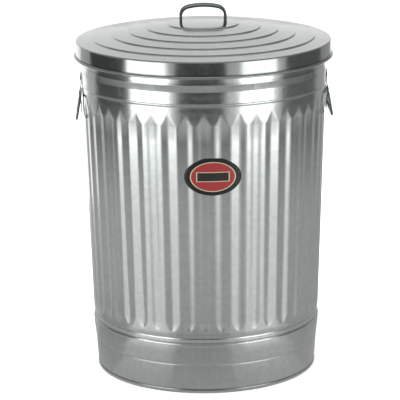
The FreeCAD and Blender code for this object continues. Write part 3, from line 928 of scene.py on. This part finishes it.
def studio_card(name, start, end, levels):
    """A card from near the can out over the floor, and up at CARD_REACH."""
    mesh = bmesh.new()
    points = [(CARD_NEAR, CARD_LIFT), (CARD_REACH, CARD_LIFT)]
    if levels[-1][0] > CARD_REACH:
        points.append((CARD_REACH, CARD_HIGH))
    outline(mesh, points)
    turn = Matrix.Rotation(math.radians(start - 90), 3, "Z")
    bmesh.ops.rotate(mesh, verts=mesh.verts, cent=ORIGIN, matrix=turn)
    spin_about_axis(mesh, 16, math.radians(end - start))
    mirrored_only(stage_object(name, mesh, glow(name, levels)))


def build_floor(stage):
    """A matt white painted floor."""
    material, tree, output = new_material("painted_floor")
    inputs = {"Base Color": tuple(stage.floor), "Roughness": 0.8}
    finish_tree(tree, output, "ShaderNodeBsdfPrincipled", inputs)
    mesh = bmesh.new()
    bmesh.ops.create_grid(mesh, x_segments=1, y_segments=1, size=12)
    stage_object("floor", mesh, material)


def soft_light(name, place, size, power):
    """A square light turned to the can, which the metal does not mirror."""
    data = bpy.data.lights.new(name, "AREA")
    data.shape = "SQUARE"
    data.size = size
    data.energy = power
    lamp = link(name, data)
    lamp.location = place
    lamp.rotation_euler = (-Vector(place) + Vector((0, 0, 0.3))).to_track_quat("-Z", "Y").to_euler()
    lamp.visible_glossy = False


def build_world():
    """Even white surroundings."""
    world = bpy.data.worlds.new("studio")
    world.use_nodes = True
    background = world.node_tree.nodes["Background"]
    background.inputs["Color"].default_value = (1.0, 1.0, 1.0, 1.0)
    background.inputs["Strength"].default_value = 1.0
    bpy.context.scene.world = world


def build_camera(stage):
    """The camera, in front and slightly to the left, looking down a little."""
    data = bpy.data.cameras.new("camera")
    data.lens = stage.lens
    data.sensor_width = CAMERA_SENSOR
    camera = link("camera", data)
    towards = Vector((math.sin(stage.side), math.cos(stage.side), 0))
    camera.location = UP * stage.height - towards * stage.distance
    heading, tilt, roll = (math.radians(a) for a in CAMERA_AIM)
    aim = Matrix.Rotation(heading, 3, "Z") @ Matrix.Rotation(tilt, 3, "X") @ Matrix.Rotation(roll, 3, "Z")
    camera.rotation_euler = aim.to_euler()
    bpy.context.scene.camera = camera


# ---------------------------------------------------------------- operators


class CAN_OT_wall(bpy.types.Operator):
    """Builds the fluted wall and the pan from galvanised sheet"""

    bl_idname = "can.wall"
    bl_label = "Wall and pan"

    def execute(self, context):
        can = context.scene.can
        zinc = galvanised_sheet(
            "galvanised_sheet_rolled", tuple(can.finish.zinc), can.finish.spangle, roughness=0.2,
            creases=WALL_CREASE_SHADE,
        )
        finish_with(build_wall(can.wall), zinc)
        finish_with(build_pan(can.wall), zinc)
        return {"FINISHED"}


class CAN_OT_lid(bpy.types.Operator):
    """Builds the stepped lid from galvanised sheet"""

    bl_idname = "can.lid"
    bl_label = "Lid"

    def execute(self, context):
        can = context.scene.can
        zinc = galvanised_sheet(
            "galvanised_sheet_pressed", tuple(can.finish.lid_zinc), can.finish.spangle, roughness=0.16,
            creases=LID_CREASE_SHADE,
        )
        finish_with(build_lid(can.lid), zinc)
        return {"FINISHED"}


class CAN_OT_lid_handle(bpy.types.Operator):
    """Builds the lid's strap handle"""

    bl_idname = "can.lid_handle"
    bl_label = "Lid handle"

    def execute(self, context):
        can = context.scene.can
        strip = zinc_plated("zinc_strip", tuple(can.finish.strap_zinc_painted_shade), roughness=0.3, grain=4 * MM)
        finish_with(build_lid_handle(can.lid), strip)
        return {"FINISHED"}


class CAN_OT_side_handles(bpy.types.Operator):
    """Builds the two drop handles, their saddle straps and the rivets"""

    bl_idname = "can.side_handles"
    bl_label = "Side handles"

    def execute(self, context):
        can = context.scene.can
        finish = can.finish
        strip = zinc_plated("zinc_saddle_strip", tuple(finish.ear_zinc_painted_shade), roughness=0.3, grain=4 * MM)
        heads = zinc_plated("plated_rivets", tuple(finish.rivet_steel), roughness=0.25, grain=2 * MM)
        wire = zinc_plated("zinc_wire", tuple(finish.wire_zinc), roughness=0.28, grain=3 * MM)
        for name, side in SIDES:
            finish_with(build_ear(can.handles, name, side), strip)
            finish_with(build_ear_rivets(can.handles, name, side), heads)
            finish_with(build_drop_handle(can.handles, name, side), wire)
        return {"FINISHED"}


class CAN_OT_rim_wires(bpy.types.Operator):
    """Gives the wires inside the two rims their zinc finish"""

    bl_idname = "can.rim_wires"
    bl_label = "Rim wires"

    def execute(self, context):
        zinc = tuple(context.scene.can.finish.wire_zinc)
        wire = zinc_plated("zinc_rim_wire", zinc, roughness=0.3, grain=3 * MM)
        finish_node("rim_wire", wire)
        finish_node("lid_rim_wire", wire)
        return {"FINISHED"}


class CAN_OT_label(bpy.types.Operator):
    """Builds the oval label with a blank panel"""

    bl_idname = "can.label"
    bl_label = "Label"

    def execute(self, context):
        finish_with(build_label(), printed_film("printed_film", context.scene.can.finish))
        return {"FINISHED"}


class CAN_OT_stage(bpy.types.Operator):
    """Lays the floor, lights the can and sets up the camera"""

    bl_idname = "can.stage"
    bl_label = "Stage"

    def execute(self, context):
        stage = context.scene.can.stage
        context.scene.view_settings.view_transform = "Standard"
        build_world()
        build_floor(stage)
        for name, start, end, levels in STUDIO_CARDS:
            studio_card(name, start, end, levels)
        studio_card("back_floor", STUDIO_CARDS[-1][2], STUDIO_CARDS[-2][1] + 360, BACK_LEVELS)
        soft_light("top_light", place=(0.0, -0.4, 4.0), size=6.0, power=220)
        build_camera(stage)
        return {"FINISHED"}


BUILD_STEPS = (
    CAN_OT_wall, CAN_OT_lid, CAN_OT_lid_handle, CAN_OT_side_handles, CAN_OT_rim_wires, CAN_OT_label,
    CAN_OT_stage,
)


class CAN_PT_build(bpy.types.Panel):
    """Lists the steps that build the can"""

    bl_idname = "CAN_PT_build"
    bl_label = "Galvanised can"
    bl_space_type = "VIEW_3D"
    bl_region_type = "UI"
    bl_category = "Can"

    def draw(self, context):
        for step in BUILD_STEPS:
            self.layout.operator(step.bl_idname)
        can = context.scene.can
        for group in (can.wall, can.lid, can.handles, can.finish, can.stage):
            box = self.layout.box()
            for name in group.bl_rna.properties.keys():
                if name not in ("rna_type", "name"):
                    box.prop(group, name)


SETTINGS = (
    CanWallSettings, CanLidSettings, CanHandleSettings, CanFinishSettings, CanStageSettings, CanSettings,
)
CLASSES = (*SETTINGS, *BUILD_STEPS, CAN_PT_build)


def register():
    for kind in CLASSES:
        bpy.utils.register_class(kind)
    bpy.types.Scene.can = PointerProperty(type=CanSettings)


def unregister():
    del bpy.types.Scene.can
    for kind in reversed(CLASSES):
        bpy.utils.unregister_class(kind)


def main():
    register()
    bpy.ops.can.wall()
    bpy.ops.can.lid()
    bpy.ops.can.lid_handle()
    bpy.ops.can.side_handles()
    bpy.ops.can.rim_wires()
    bpy.ops.can.label()
    bpy.ops.can.stage()


if __name__ == "__main__":
    main()
